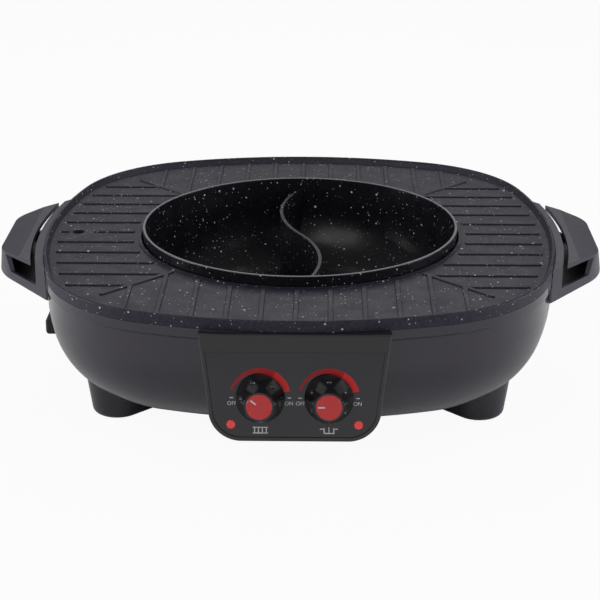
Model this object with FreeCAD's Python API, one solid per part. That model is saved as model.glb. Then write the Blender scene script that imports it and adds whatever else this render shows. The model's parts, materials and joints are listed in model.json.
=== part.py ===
"""Countertop hot pot and grill: a split soup pot standing in a ribbed square grill plate on a heated base.

Millimetres, +Z up. The origin is on the surface that the feet stand on, midway between the
foremost and rearmost points. X runs along the width, and the control panel faces -Y.
"""

import FreeCAD, Part  # noqa: E401  FreeCAD has to be loaded before Part
import math
import os

Vector = FreeCAD.Vector
UP = Vector(0, 0, 1)
ORIGIN = Vector(0, 0, 0)

# Outline shared by the grill plate and the housing: a rounded square made of eight arcs
HALF_WIDTH = 208.0
HALF_DEPTH = 212.0
CORNER_RADIUS = 120.0
SIDE_BULGE = 11.0
END_BULGE = 12.0

# Levels above the surface that the feet stand on
FOOT_BOTTOM_Z = 1.5
HOUSING_FLOOR_Z = 22.0
HOUSING_TOP_Z = 114.0
GRILL_Z = 118.0

# Fits
SEAT_GAP = 0.2
SCREW_CLEARANCE = 0.15
RUNNING_CLEARANCE = 0.06
FIXED_CLEARANCE = 0.3

# Grill plate
PLATE_FLOOR = 3.4
LIP_HEIGHT = 5.0
LIP_TOP_WIDTH = 2.6
LIP_FOOT_WIDTH = 4.6
PLATE_SKIRT_GAP = 0.8
PLATE_SKIRT_WALL = 2.4
PLATE_SKIRT_DROP = 6.0
COLLAR_WALL = 2.6
COLLAR_RISE = 0.8
COLLAR_DROP = 10.0
RIB_PITCH = 25.4
RIB_WIDTH = 4.0
RIB_HEIGHT = 1.2
RIB_ROUND = 0.8
RIB_COLLAR_GAP = 3.4
RIB_LIP_GAP = 5.0
RIBS_EACH_WAY = 5
DIAGONAL_RIB_LENGTH = 72.0
DRAIN_STUB_LENGTH = 7.0
DRAIN_RADIUS = 5.0
DRAIN_WALL = 1.8
DRAIN_REACH = 184.0
DRAIN_CLEAR = 8.0
SPOUT_DROP = 20.0

# Soup pot and its divider
POT_RIM_RADIUS = 130.0
POT_RIM_RISE = 9.0
POT_WALL = 2.5
POT_FLOOR = 3.0
POT_DEPTH = 77.0
POT_TAPER = 1.0
POT_BOTTOM_ROUND = 52.0
POT_COLLAR_CLEARANCE = 1.2
POT_RIM_ROUND = 0.9
DIVIDER_WALL = 2.6
DIVIDER_SWING = 17.0
DIVIDER_DROP = 9.5
DIVIDER_GAP = 0.15

# Housing bowl
HOUSING_WALL = 3.0
FLANGE_STEP = 2.0
FLANGE_HEIGHT = 7.0
BOWL_RADIUS = 66.0
FLOOR_RIM_WIDTH = 10.0
FLOOR_LIP_WIDTH = 8.0
FLOOR_LIP_THICKNESS = 2.0
LEDGE_WIDTH = 6.0
LEDGE_THICKNESS = 3.0
LEDGE_DROP = 8.0

# Bottom cover
COVER_THICKNESS = 2.0
COVER_GAP = 0.5
VENT_LENGTH = 46.0
VENT_WIDTH = 4.0
VENT_PITCH = 11.0
VENT_COUNT = 5
BOSS_RADIUS = 3.8
BOSS_HEIGHT = 5.0

# Screws
SCREW_RADIUS = 1.6
SCREW_HEAD_RADIUS = 3.2
SCREW_HEAD_HEIGHT = 2.0
SCREW_RECESS = 1.0
COVER_SCREW_LENGTH = 7.5
COVER_SCREW_SPREAD = 45.0
FOOT_SCREW_LENGTH = 11.0
HANDLE_SCREW_LENGTH = 9.0
INLET_SCREW_LENGTH = 8.0

# Feet
FOOT_X = 143.0
FOOT_Y = 97.0
FOOT_RADIUS = 20.0
FOOT_LENGTH = 40.0
FOOT_SCREW_SETBACK = 23.0
FOOT_DRAFT = 7.0
FOOT_EDGE_ROUND = 5.0
FOOT_TOP_Z = 50.0
PAD_RADIUS = 11.0
PAD_SOCKET = 1.6

# Control box and its front cover
PANEL_TILT = 8.0
PANEL_BOTTOM_Z = 35.3
PANEL_BOTTOM_REACH = 226.0
PANEL_HEIGHT = 79.4
PANEL_TOP_HALF = 69.5
PANEL_BOTTOM_HALF = 62.5
PANEL_CORNER = 24.0
PANEL_WALL = 3.0
PANEL_EDGE_ROUND = 1.2
PANEL_DEPTH = 60.0
HOOD_HEIGHT = 13.0
FASCIA_THICKNESS = 2.5
FASCIA_RECESS = 0.8
FASCIA_LEDGE = 2.2

# Controls
KNOB_SPACING = 49.4
KNOB_HEIGHT_ON_PANEL = 32.4
KNOB_RADIUS = 17.7
KNOB_SKIRT = 2.6
KNOB_TOP_RADIUS = 10.4
KNOB_LENGTH = 23.0
KNOB_GAP = 0.8
KNOB_RECESS_RADIUS = 12.0
KNOB_RECESS_DEPTH = 4.0
KNOB_WAIST = 1.4
DIMPLE_COUNT = 6
DIMPLE_RADIUS = 2.4
DIMPLE_RISE = 7.0
CAP_RADIUS = 9.2
CAP_THICKNESS = 2.4
CAP_PROUD = 0.6
CAP_GAP = 0.05
POINTER_LENGTH = 5.2
POINTER_WIDTH = 1.3
POINTER_DEPTH = 0.4
LEFT_POINTER = 141.0
RIGHT_POINTER = 180.0
SPINDLE_RADIUS = 3.0
SPINDLE_IN_KNOB = 13.0
SPINDLE_IN_BODY = 7.0
BUSH_RADIUS = 4.8
BUSH_PROUD = 2.4
NUT_ACROSS_CORNERS = 14.0
NUT_THICKNESS = 1.6
THERMOSTAT_RADIUS = 14.0
THERMOSTAT_DEPTH = 11.0
BLADE_WIDTH = 6.3
BLADE_THICKNESS = 0.8
BLADE_LENGTH = 8.0
BLADE_SPREAD = 16.0
LAMP_SPACING = 92.0
LAMP_HEIGHT_ON_PANEL = 12.5
LENS_RADIUS = 3.2
LENS_PROUD = 0.7
LENS_FLANGE_RADIUS = 4.5
LENS_FLANGE_THICKNESS = 1.0
NEON_RADIUS = 2.6
NEON_LENGTH = 9.0

# Side handles
HANDLE_GAP = 0.5
HANDLE_BAND = 6.5
HANDLE_SLOT = 3.6
HANDLE_SLOT_HALF_LENGTH = 88.0
HANDLE_TOP_Z = 119.0
HANDLE_BOTTOM_Z = 92.0
HANDLE_LIP_HEIGHT = 8.0
HANDLE_TOP_REACH = 241.5
HANDLE_BOTTOM_REACH = 248.5
HANDLE_TOP_END_HALF = 44.0
HANDLE_BOTTOM_END_HALF = 26.0
HANDLE_TOP_ROOT_HALF = 91.0
HANDLE_BOTTOM_ROOT_HALF = 92.0
HANDLE_TOP_CORNER = 25.0
HANDLE_ROOT_CORNER = 3.0
HANDLE_RIDGE_X = 223.0
HANDLE_SLOPE = 7.0
HANDLE_BASE_THICKNESS = 2.5
HANDLE_BOTTOM_CORNER = 70.0
HANDLE_WALL = 4.0
HANDLE_WINDOW_START = 48.0
HANDLE_SCREW_SPREAD = 52.0
HANDLE_SCREW_Z = 96.0

# Grease tray, its sleeve and the tube that feeds it
TRAY_WIDTH = 32.0
TRAY_HEIGHT = 13.0
TRAY_WALL = 1.8
TRAY_TOP_Z = 46.0
TRAY_OUTER_X = 213.0
TRAY_INNER_X = 150.0
TRAY_FRONT_THICKNESS = 4.0
TRAY_EDGE_ROUND = 3.0
TRAY_CLEARANCE = 0.5
SLEEVE_WALL = 2.0
SLEEVE_TOP_LIP = 4.0
TUBE_WALL = 1.0
TUBE_CLEARANCE = 1.2
TUBE_ELBOW_Z = 82.0
TUBE_END_Z = 53.0
TUBE_END_X = 172.0
TUBE_FLANGE = 2.0
TUBE_FLANGE_THICKNESS = 1.0

# Heating parts
HEATER_TUBE_RADIUS = 3.3
ELBOW_SWELL = 0.3
POT_HEATER_RADIUS = 56.0
POT_HEATER_GAP = 0.6
HEATER_END_HALF_GAP = 14.0
POT_HEATER_END_DROP = 12.0
GRILL_HEATER_INSET = 40.0
GRILL_HEATER_DROP = 2.0
GRILL_HEATER_END_DROP = 16.0
CLIP_WIDTH = 12.0
CLIP_THICKNESS = 2.0
CLIP_COUNT = 4
TRIVET_OUTER = 73.0
TRIVET_INNER = 67.0
TRIVET_WINDOW = 34.0
TRIVET_RAIL = 3.0
PAN_SHEET = 0.8
PAN_INSET = 12.0
PAN_TROUGH_Z = 98.0
PAN_WELL_TOP_RADIUS = 137.0
PAN_WELL_FLOOR_RADIUS = 112.0
PAN_FLOOR_Z = 34.0
CUTOUT_RADIUS = 8.0
CUTOUT_HEIGHT = 4.0

# Power inlet at the back
INLET_Z = 76.0
INLET_WIDTH = 34.0
INLET_HEIGHT = 20.0
INLET_DEPTH = 18.0
INLET_WALL = 2.5
INLET_FACE_REACH = 208.5
INLET_FLANGE_SIDE = 9.0
INLET_FLANGE_EDGE = 4.0
INLET_FLANGE_THICKNESS = 2.5
INLET_PAD_MARGIN = 1.0
INLET_PAD_DEPTH = 12.0
PIN_RADIUS = 2.0
PIN_LENGTH = 13.0
PIN_SPACING = 8.0
PIN_TAIL = 5.0

# Wiring
TERMINAL_X = 21.0
TERMINAL_Y = 66.0
TERMINAL_HALF_WIDTH = 9.0
TERMINAL_HEIGHT = 7.0
WIRE_RADIUS = 1.3
WIRE_LEVEL = 28.5

BOWL_TOP_Z = HOUSING_FLOOR_Z + BOWL_RADIUS
BOWL_CENTRE_INSET = FLANGE_STEP + BOWL_RADIUS
FLOOR_RIM_INSET = BOWL_CENTRE_INSET + FLOOR_RIM_WIDTH
PLATE_UNDER_Z = GRILL_Z - PLATE_FLOOR
POT_RIM_Z = GRILL_Z + POT_RIM_RISE
POT_BOTTOM_Z = POT_RIM_Z - POT_DEPTH - POT_FLOOR
POT_HOLE_RADIUS = POT_RIM_RADIUS + POT_COLLAR_CLEARANCE
DIAGONAL = math.sqrt(0.5)


def box(low, high):
    """A block between two opposite corners."""
    size = Vector(*high) - Vector(*low)
    return Part.makeBox(size.x, size.y, size.z, Vector(*low))


def cylinder(radius, low, high, x=0.0, y=0.0):
    """An upright cylinder between two levels."""
    return Part.makeCylinder(radius, high - low, Vector(x, y, low), UP)


def ring(outer, inner, low, high, x=0.0, y=0.0):
    """An upright tube between two levels."""
    hole = cylinder(inner, low - 1, high + 1, x, y)
    return cylinder(outer, low, high, x, y).cut(hole)


def fuse_all(shapes):
    """One clean solid from several that touch or overlap."""
    first, rest = shapes[0], shapes[1:]
    whole = first.multiFuse(rest) if rest else first
    return whole.removeSplitter()


def revolved(points):
    """A solid of revolution about Z from (radius, z) points. A point given as three values is an arc's end,
    preceded by the arc's middle: ("arc", (radius, z), (radius, z))."""
    face = Part.Face(profile_wire(points))
    return face.revolve(ORIGIN, UP, 360)


def profile_wire(points):
    """A closed wire in the XZ plane from corner points and ("arc", middle, end) steps."""
    edges = []
    here = Vector(points[0][0], 0, points[0][1])
    start = here
    for step in points[1:]:
        if step[0] == "arc":
            middle = Vector(step[1][0], 0, step[1][1])
            there = Vector(step[2][0], 0, step[2][1])
            edges.append(Part.Arc(here, middle, there).toShape())
        else:
            there = Vector(step[0], 0, step[1])
            edges.append(Part.LineSegment(here, there).toShape())
        here = there
    if (here - start).Length > 1e-6:
        edges.append(Part.LineSegment(here, start).toShape())
    return Part.Wire(edges)


def outline_arcs():
    """The eight arcs of the shared outline, as (centre x, centre y, radius, start angle, end angle)."""
    corner_x = HALF_WIDTH - CORNER_RADIUS - SIDE_BULGE
    corner_y = HALF_DEPTH - CORNER_RADIUS - END_BULGE
    square = corner_x**2 + corner_y**2
    side_back = (square - (HALF_WIDTH - CORNER_RADIUS) ** 2) / (2 * SIDE_BULGE)
    end_back = (square - (HALF_DEPTH - CORNER_RADIUS) ** 2) / (2 * END_BULGE)
    side_turn = math.degrees(math.atan2(corner_y, corner_x + side_back))
    end_turn = math.degrees(math.atan2(corner_x, corner_y + end_back))
    side = HALF_WIDTH + side_back
    end = HALF_DEPTH + end_back
    return [
        (-side_back, 0, side, -side_turn, side_turn),
        (corner_x, corner_y, CORNER_RADIUS, side_turn, 90 - end_turn),
        (0, -end_back, end, 90 - end_turn, 90 + end_turn),
        (-corner_x, corner_y, CORNER_RADIUS, 90 + end_turn, 180 - side_turn),
        (side_back, 0, side, 180 - side_turn, 180 + side_turn),
        (-corner_x, -corner_y, CORNER_RADIUS, 180 + side_turn, 270 - end_turn),
        (0, end_back, end, 270 - end_turn, 270 + end_turn),
        (corner_x, -corner_y, CORNER_RADIUS, 270 + end_turn, 360 - side_turn),
    ]


def at_angle(x, y, radius, degrees, z):
    """The point at an angle on a circle."""
    turn = math.radians(degrees)
    return Vector(x + radius * math.cos(turn), y + radius * math.sin(turn), z)


def outline_wire(inset, z):
    """The shared outline, drawn in by an inset, at a level."""
    edges = []
    for x, y, radius, first, last in outline_arcs():
        points = [at_angle(x, y, radius - inset, a, z) for a in (first, (first + last) / 2, last)]
        edges.append(Part.Arc(*points).toShape())
    return Part.Wire(edges)


def outline_slab(inset, low, high):
    """A flat slab of the shared outline between two levels."""
    return Part.Face(outline_wire(inset, low)).extrude(Vector(0, 0, high - low))


def outline_ring(points):
    """A closed ring of one cross-section round the shared outline. The points are (inset, z) steps."""
    pieces = []
    for x, y, radius, first, last in outline_arcs():
        moved = []
        for step in points:
            if step[0] == "arc":
                moved.append(("arc", (radius - step[1][0], step[1][1]), (radius - step[2][0], step[2][1])))
            else:
                moved.append((radius - step[0], step[1]))
        piece = Part.Face(profile_wire(moved)).revolve(ORIGIN, UP, last - first)
        piece.rotate(ORIGIN, UP, first)
        piece.translate(Vector(x, y, 0))
        pieces.append(piece)
    return fuse_all(pieces)


def outline_reach(offset, inset):
    """How far the outline reaches along X, at a distance from the X axis, when it is drawn in by an inset."""
    side, corner = outline_arcs()[:2]
    joint = side[2] * math.sin(math.radians(side[4]))
    x, y, radius = side[:3] if abs(offset) < joint else corner[:3]
    return x + math.sqrt((radius - inset) ** 2 - (abs(offset) - y) ** 2)


def outline_depth(offset, inset):
    """How far the outline reaches along Y, at a distance from the Y axis, when it is drawn in by an inset."""
    corner, end = outline_arcs()[1:3]
    joint = end[2] * math.cos(math.radians(end[3]))
    x, y, radius = end[:3] if abs(offset) < joint else corner[:3]
    return y + math.sqrt((radius - inset) ** 2 - (abs(offset) - x) ** 2)


def housing_blank(grow):
    """The housing's whole outer volume, grown outward, used to trim what stands against it."""
    radius = BOWL_RADIUS + grow
    middle = (BOWL_CENTRE_INSET - radius * DIAGONAL, BOWL_TOP_Z - radius * DIAGONAL)
    core_inset = BOWL_CENTRE_INSET + 1
    steps = [
        (FLANGE_STEP - grow, HOUSING_TOP_Z),
        (FLANGE_STEP - grow, BOWL_TOP_Z),
        ("arc", middle, (BOWL_CENTRE_INSET, BOWL_TOP_Z - radius)),
        (core_inset + 1, BOWL_TOP_Z - radius),
        (core_inset + 1, HOUSING_TOP_Z),
    ]
    core = outline_slab(core_inset, BOWL_TOP_Z - radius, HOUSING_TOP_Z)
    flange = outline_slab(-grow, HOUSING_TOP_Z - FLANGE_HEIGHT - FLANGE_STEP - grow, HOUSING_TOP_Z)
    return fuse_all([outline_ring(steps), core, flange])


def on_panel(shape, across, up, out):
    """Places a shape modelled along Z onto the tilted front: across it, up from its bottom edge, out of its face."""
    placed = shape.copy()
    placed.rotate(ORIGIN, Vector(1, 0, 0), 90 - PANEL_TILT)
    tilt = math.radians(PANEL_TILT)
    base = Vector(0, -PANEL_BOTTOM_REACH, PANEL_BOTTOM_Z)
    along = Vector(0, math.sin(tilt), math.cos(tilt))
    outward = Vector(0, -math.cos(tilt), math.sin(tilt))
    placed.translate(base + Vector(across, 0, 0) + along * up + outward * out)
    return placed


def panel_outline(inset, top_drop):
    """The control panel's front outline in its own plane: straight top, drawn-in sides, round lower corners."""
    top = PANEL_HEIGHT - top_drop
    slope = (PANEL_TOP_HALF - PANEL_BOTTOM_HALF) / (PANEL_HEIGHT - PANEL_CORNER)
    radius = PANEL_CORNER - inset
    shoulder = PANEL_CORNER
    half_top = PANEL_BOTTOM_HALF + slope * (top - shoulder) - inset
    half_low = PANEL_BOTTOM_HALF - inset
    lean = math.sqrt(0.5)
    centre_x = half_low - radius
    centre_y = inset + radius
    right_mid = Vector(centre_x + radius * lean, centre_y - radius * lean, 0)
    left_mid = Vector(-right_mid.x, right_mid.y, 0)
    a = Vector(-half_top, top, 0)
    b = Vector(half_top, top, 0)
    c = Vector(half_low, centre_y, 0)
    d = Vector(centre_x, inset, 0)
    e = Vector(-centre_x, inset, 0)
    g = Vector(-half_low, centre_y, 0)
    edges = [
        Part.LineSegment(a, b).toShape(),
        Part.LineSegment(b, c).toShape(),
        Part.Arc(c, right_mid, d).toShape(),
        Part.LineSegment(d, e).toShape(),
        Part.Arc(e, left_mid, g).toShape(),
        Part.LineSegment(g, a).toShape(),
    ]
    return Part.Wire(edges)


def panel_block(inset, top_drop, inner, outer):
    """A block of the panel's outline between two distances out of its face."""
    face = Part.Face(panel_outline(inset, top_drop))
    return on_panel(face.extrude(Vector(0, 0, outer - inner)), 0, 0, inner)


def screw(length):
    """A pan head screw, head up, with the head's underside at z = 0 and a cross recess."""
    head = cylinder(SCREW_HEAD_RADIUS, 0, SCREW_HEAD_HEIGHT)
    top = [e for e in head.Edges if e.CenterOfMass.z > SCREW_HEAD_HEIGHT - 0.01]
    head = head.makeFillet(SCREW_HEAD_HEIGHT * 0.4, top)
    whole = head.fuse(cylinder(SCREW_RADIUS, -length, 0))
    reach = SCREW_HEAD_RADIUS * 0.6
    half = SCREW_HEAD_RADIUS * 0.14
    for x, y in ((reach, half), (half, reach)):
        recess = box((-x, -y, SCREW_HEAD_HEIGHT - SCREW_RECESS), (x, y, SCREW_HEAD_HEIGHT + 1))
        whole = whole.cut(recess)
    return whole


def pointed(shape, direction, place):
    """Turns a shape modelled along +Z to point in a direction, and moves it to a place."""
    turned = shape.copy()
    turn = FreeCAD.Rotation(UP, Vector(*direction))
    turned.Placement = FreeCAD.Placement(Vector(*place), turn)
    return turned


def rod(radius, points):
    """A round rod or wire that runs through points, with ball corners."""
    pieces = []
    for first, last in zip(points, points[1:]):
        start = Vector(*first)
        run = Vector(*last) - start
        pieces.append(Part.makeCylinder(radius, run.Length, start, run))
    for corner in points[1:-1]:
        pieces.append(Part.makeSphere(radius, Vector(*corner)))
    return fuse_all(pieces)


def rounded_wire(corners, level):
    """A closed wire through (x, y, corner radius) corners at a level, with tangent arcs."""
    edges = []
    ends = []
    count = len(corners)
    for index, (x, y, radius) in enumerate(corners):
        here = Vector(x, y, level)
        before = corners[index - 1]
        after = corners[(index + 1) % count]
        back = (Vector(before[0], before[1], level) - here).normalize()
        ahead = (Vector(after[0], after[1], level) - here).normalize()
        half = back.getAngle(ahead) / 2
        reach = radius / math.tan(half)
        bisector = (back + ahead).normalize()
        middle = here + bisector * (radius / math.sin(half) - radius)
        start = here + back * reach
        end = here + ahead * reach
        ends.append((start, end))
        edges.append(Part.Arc(start, middle, end).toShape())
    joined = []
    for index, edge in enumerate(edges):
        joined.append(edge)
        joined.append(Part.LineSegment(ends[index][1], ends[(index + 1) % count][0]).toShape())
    return Part.Wire(joined)


def pot_section(top_radius, floor_z, rounding, taper):
    """Half profile of a round-bottomed bowl, from its floor's centre round to its rim."""
    wall_end = top_radius - taper
    wall_end_z = floor_z + rounding
    centre = wall_end - rounding
    middle = (centre + rounding * DIAGONAL, wall_end_z - rounding * DIAGONAL)
    return [
        (0, POT_RIM_Z),
        (top_radius, POT_RIM_Z),
        (wall_end, wall_end_z),
        ("arc", middle, (centre, floor_z)),
        (0, floor_z),
    ]


def pot_cavity(gap):
    """The space inside the pot, drawn in from its wall and floor by a gap."""
    floor_z = POT_BOTTOM_Z + POT_FLOOR + gap
    rounding = POT_BOTTOM_ROUND - gap
    return revolved(pot_section(POT_RIM_RADIUS - POT_WALL - gap, floor_z, rounding, POT_TAPER))


def inner_pot():
    """The soup pot, a round-bottomed bowl with a rounded rim."""
    outer = revolved(
        pot_section(POT_RIM_RADIUS, POT_BOTTOM_Z, POT_BOTTOM_ROUND + POT_FLOOR, POT_TAPER)
    )
    shell = outer.cut(pot_cavity(0))
    rim = [e for e in shell.Edges if abs(e.CenterOfMass.z - POT_RIM_Z) < 0.01]
    return shell.makeFillet(POT_RIM_ROUND, rim)


def pot_divider():
    """The S-shaped wall that splits the pot in two, standing on its floor."""
    cavity_radius = POT_RIM_RADIUS - POT_WALL
    half = cavity_radius / 2
    bend = (half**2 + DIVIDER_SWING**2) / (2 * DIVIDER_SWING)
    top = POT_RIM_Z - DIVIDER_DROP
    walls = []
    for side in (1, -1):
        x = side * (bend - DIVIDER_SWING)
        half_wall = DIVIDER_WALL / 2
        wall = ring(bend + half_wall, bend - half_wall, POT_BOTTOM_Z, top, x, side * half)
        low, high = sorted((0, side * cavity_radius))
        width = DIVIDER_SWING + DIVIDER_WALL
        walls.append(wall.common(box((-width, low, POT_BOTTOM_Z), (width, high, top))))
    return fuse_all(walls).common(pot_cavity(DIVIDER_GAP))


def cooking_rib(length):
    """One raised cooking rib, rounded at its ends and along its top, starting at x = 0 and rooted in the plate."""
    root = GRILL_Z - PLATE_FLOOR / 2
    top_z = GRILL_Z + RIB_HEIGHT
    bar = box((0, -RIB_WIDTH / 2, root), (length, RIB_WIDTH / 2, top_z))
    upright = [e for e in bar.Edges if abs(e.tangentAt(e.FirstParameter).z) > 0.9]
    bar = bar.makeFillet(RIB_WIDTH * 0.45, upright)
    top = [e for e in bar.Edges if abs(e.CenterOfMass.z - top_z) < 0.01]
    return bar.makeFillet(RIB_ROUND, top)


def rib_spans():
    """Where the ribs lie, as (start x, start y, heading in degrees, length)."""
    spans = []
    near = POT_HOLE_RADIUS + COLLAR_WALL + RIB_COLLAR_GAP
    inset = LIP_FOOT_WIDTH + RIB_LIP_GAP
    for count in range(-RIBS_EACH_WAY, RIBS_EACH_WAY + 1):
        offset = count * RIB_PITCH
        start = max(math.sqrt(max(near**2 - offset**2, 0)), abs(offset))
        sideways = outline_reach(offset, inset)
        lengthways = outline_depth(offset, inset)
        spans.append((start, offset, 0, sideways - start))
        spans.append((offset, start, 90, lengthways - start))
        spans.append((offset, -start, 270, lengthways - start))
        if count:
            spans.append((-start, offset, 180, sideways - start))
        else:
            stop = DRAIN_REACH - DRAIN_RADIUS - DRAIN_CLEAR
            spans.append((-start, offset, 180, stop - start))
            spans.append((DRAIN_STUB_LENGTH - sideways, offset, 180, DRAIN_STUB_LENGTH))
    for heading in (45, 135, 225, 315):
        turn = math.radians(heading)
        spans.append((near * math.cos(turn), near * math.sin(turn), heading, DIAGONAL_RIB_LENGTH))
    return spans


def grill_plate():
    """The ribbed grill plate with its lip, pot collar, locating skirt and grease spout."""
    wall_foot = HOUSING_TOP_Z + SEAT_GAP
    lip_top = GRILL_Z + LIP_HEIGHT
    soft = LIP_TOP_WIDTH / 2
    floor = outline_slab(LIP_FOOT_WIDTH / 2, PLATE_UNDER_Z, GRILL_Z)
    lip = outline_ring(
        [
            (0, wall_foot),
            (0, lip_top - soft),
            ("arc", (soft, lip_top), (LIP_TOP_WIDTH, lip_top - soft)),
            (LIP_FOOT_WIDTH, GRILL_Z),
            (LIP_FOOT_WIDTH, wall_foot),
        ]
    )
    near = FLANGE_STEP + HOUSING_WALL + PLATE_SKIRT_GAP
    far = near + PLATE_SKIRT_WALL
    skirt_foot = PLATE_UNDER_Z - PLATE_SKIRT_DROP
    skirt = outline_ring([(near, GRILL_Z - 1), (near, skirt_foot), (far, skirt_foot), (far, GRILL_Z - 1)])
    collar_top = GRILL_Z + COLLAR_RISE
    collar_outer = POT_HOLE_RADIUS + COLLAR_WALL
    collar = ring(collar_outer, POT_HOLE_RADIUS - 1, PLATE_UNDER_Z - COLLAR_DROP, collar_top)
    spout_foot = PLATE_UNDER_Z - SPOUT_DROP
    spout = cylinder(DRAIN_RADIUS + DRAIN_WALL, spout_foot, GRILL_Z - 1, -DRAIN_REACH)
    ribs = []
    for x, y, heading, length in rib_spans():
        bar = cooking_rib(length)
        bar.rotate(ORIGIN, UP, heading)
        bar.translate(Vector(x, y, 0))
        ribs.append(bar)
    whole = fuse_all([floor, lip, skirt, collar, spout, *ribs])
    whole = whole.cut(cylinder(POT_HOLE_RADIUS, spout_foot, lip_top))
    return whole.cut(cylinder(DRAIN_RADIUS, spout_foot - 1, lip_top, -DRAIN_REACH))


def tray_space(margin):
    """The block that the grease tray takes up inside the base, grown all round by a margin."""
    half = TRAY_WIDTH / 2 + margin
    low = TRAY_TOP_Z - TRAY_HEIGHT - margin
    return box((-HALF_WIDTH, -half, low), (margin - TRAY_INNER_X, half, TRAY_TOP_Z + margin))


def screw_hole(length):
    """The clearance or thread hole of a screw, along -Z from z = 0."""
    return cylinder(SCREW_RADIUS + SCREW_CLEARANCE, -length, 0)


def foot_places():
    """Each foot's outer end, its inner end and its screw, as (x, y) places."""
    places = []
    for side in (-1, 1):
        for end in (-1, 1):
            setbacks = (0, FOOT_LENGTH * DIAGONAL, FOOT_SCREW_SETBACK * DIAGONAL)
            places.append([(side * (FOOT_X - back), end * (FOOT_Y - back)) for back in setbacks])
    return places


def cover_screw_places():
    """Where the screws of the bottom cover stand."""
    y = outline_depth(COVER_SCREW_SPREAD, FLOOR_RIM_INSET + FLOOR_LIP_WIDTH / 2)
    return [(side * COVER_SCREW_SPREAD, end * y) for side in (-1, 1) for end in (-1, 1)]


def handle_screws_at():
    """Where each handle screw enters the inner face of the housing's wall, as (side, x, y)."""
    places = []
    for side in (-1, 1):
        for end in (-1, 1):
            y = end * HANDLE_SCREW_SPREAD
            seat = outline_reach(HANDLE_SCREW_SPREAD + SCREW_HEAD_RADIUS, FLANGE_STEP + HOUSING_WALL)
            places.append((side, side * seat, y))
    return places


def inlet_screws_at():
    """Where the two inlet screws go through the flange."""
    across = (INLET_WIDTH + INLET_FLANGE_SIDE) / 2
    face = INLET_FACE_REACH + INLET_FLANGE_THICKNESS
    return [(-across, face, INLET_Z), (across, face, INLET_Z)]


def base_housing():
    """The moulded bowl of the base, open on top, with openings for the controls, the tray and the inlet."""
    inner_radius = BOWL_RADIUS - HOUSING_WALL
    wall_in = FLANGE_STEP + HOUSING_WALL
    step_z = HOUSING_TOP_Z - FLANGE_HEIGHT
    floor_top = HOUSING_FLOOR_Z + HOUSING_WALL
    lip_end = FLOOR_RIM_INSET + FLOOR_LIP_WIDTH
    lip_low = HOUSING_FLOOR_Z + COVER_THICKNESS
    outer_mid = (BOWL_CENTRE_INSET - BOWL_RADIUS * DIAGONAL, BOWL_TOP_Z - BOWL_RADIUS * DIAGONAL)
    inner_mid = (BOWL_CENTRE_INSET - inner_radius * DIAGONAL, BOWL_TOP_Z - inner_radius * DIAGONAL)
    ledge_top = HOUSING_TOP_Z - LEDGE_DROP
    shell = outline_ring(
        [
            (0, HOUSING_TOP_Z),
            (0, step_z),
            (FLANGE_STEP, step_z - FLANGE_STEP),
            (FLANGE_STEP, BOWL_TOP_Z),
            ("arc", outer_mid, (BOWL_CENTRE_INSET, HOUSING_FLOOR_Z)),
            (FLOOR_RIM_INSET, HOUSING_FLOOR_Z),
            (FLOOR_RIM_INSET, lip_low),
            (lip_end, lip_low),
            (lip_end, lip_low + FLOOR_LIP_THICKNESS),
            (FLOOR_RIM_INSET - FLOOR_LIP_THICKNESS, lip_low + FLOOR_LIP_THICKNESS),
            (FLOOR_RIM_INSET - FLOOR_LIP_THICKNESS, floor_top),
            (BOWL_CENTRE_INSET, floor_top),
            ("arc", inner_mid, (wall_in, BOWL_TOP_Z)),
            (wall_in, ledge_top - LEDGE_THICKNESS - LEDGE_WIDTH / 2),
            (wall_in + LEDGE_WIDTH, ledge_top - LEDGE_THICKNESS),
            (wall_in + LEDGE_WIDTH, ledge_top),
            (wall_in, ledge_top),
            (wall_in, HOUSING_TOP_Z),
        ]
    )
    additions = [inlet_pad()]
    boss_foot = lip_low + FLOOR_LIP_THICKNESS
    for x, y in cover_screw_places():
        additions.append(cylinder(BOSS_RADIUS, boss_foot - 1, boss_foot + BOSS_HEIGHT, x, y))
    shell = fuse_all([shell, *additions])
    shell = shell.cut(tray_space(TRAY_CLEARANCE + SLEEVE_WALL))
    shell = shell.cut(control_window())
    shell = shell.cut(inlet_recess())
    for x, y in cover_screw_places():
        hole = screw_hole(FLOOR_LIP_THICKNESS + BOSS_HEIGHT)
        shell = shell.cut(pointed(hole, (0, 0, -1), (x, y, lip_low)))
    for _, _, (x, y) in foot_places():
        shell = shell.cut(pointed(screw_hole(HOUSING_WALL), (0, 0, 1), (x, y, floor_top)))
    for side, x, y in handle_screws_at():
        shell = shell.cut(pointed(screw_hole(HOUSING_WALL + 1), (-side, 0, 0), (x, y, HANDLE_SCREW_Z)))
    for x, _, z in inlet_screws_at():
        hole = screw_hole(INLET_SCREW_LENGTH)
        shell = shell.cut(pointed(hole, (0, 1, 0), (x, INLET_FACE_REACH, z)))
    return shell


def control_window():
    """The opening in the housing's front for the thermostats and their wires."""
    half = PANEL_BOTTOM_HALF - PANEL_WALL - FASCIA_LEDGE - HOUSING_WALL
    up = KNOB_HEIGHT_ON_PANEL * math.cos(math.radians(PANEL_TILT))
    low = PANEL_BOTTOM_Z + up - THERMOSTAT_RADIUS / 2
    high = PANEL_BOTTOM_Z + up + THERMOSTAT_RADIUS + PANEL_WALL
    return box((-half, -HALF_DEPTH, low), (half, -HALF_DEPTH + BOWL_RADIUS / 2, high))


def inlet_face(margin, low, high):
    """A block as large as the inlet's flange plus a margin, between two distances from the centre."""
    half = INLET_WIDTH / 2 + INLET_FLANGE_SIDE + margin
    edge = INLET_HEIGHT / 2 + INLET_FLANGE_EDGE + margin
    return box((-half, low, INLET_Z - edge), (half, high, INLET_Z + edge))


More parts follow.
